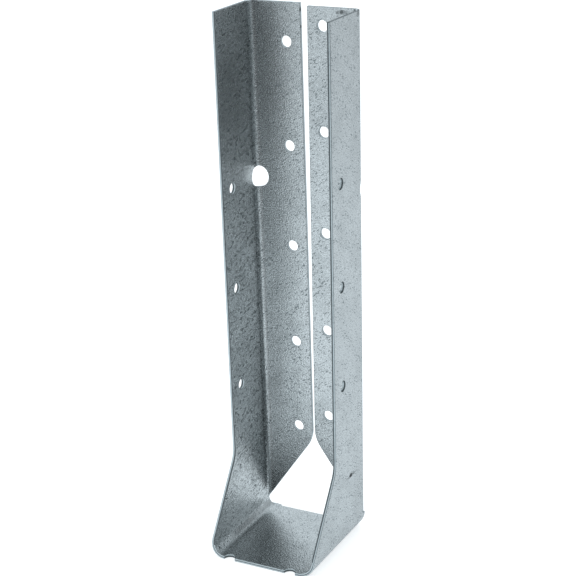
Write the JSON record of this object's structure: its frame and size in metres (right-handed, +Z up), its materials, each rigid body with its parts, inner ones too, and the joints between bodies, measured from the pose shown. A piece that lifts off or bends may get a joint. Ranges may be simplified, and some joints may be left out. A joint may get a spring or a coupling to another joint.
{
  "type": "concealed joist hanger",
  "caption": "Concealed joist hanger folded from galvanised sheet: a seat, tapered side panels and inward flanges with staggered nail holes.",
  "frame": {"origin": "middle of the footprint, on the underside of the seat", "axes": "+Z up along the side panels, +Y towards the header behind the flanges, X across the joist"},
  "size_m": [0.0441, 0.0444, 0.1979],
  "materials": {
    "galvanised": "galvanised, satin"
  },
  "bodies": {
    "root": {"hanger": "galvanised"}
  },
  "joints": []
}
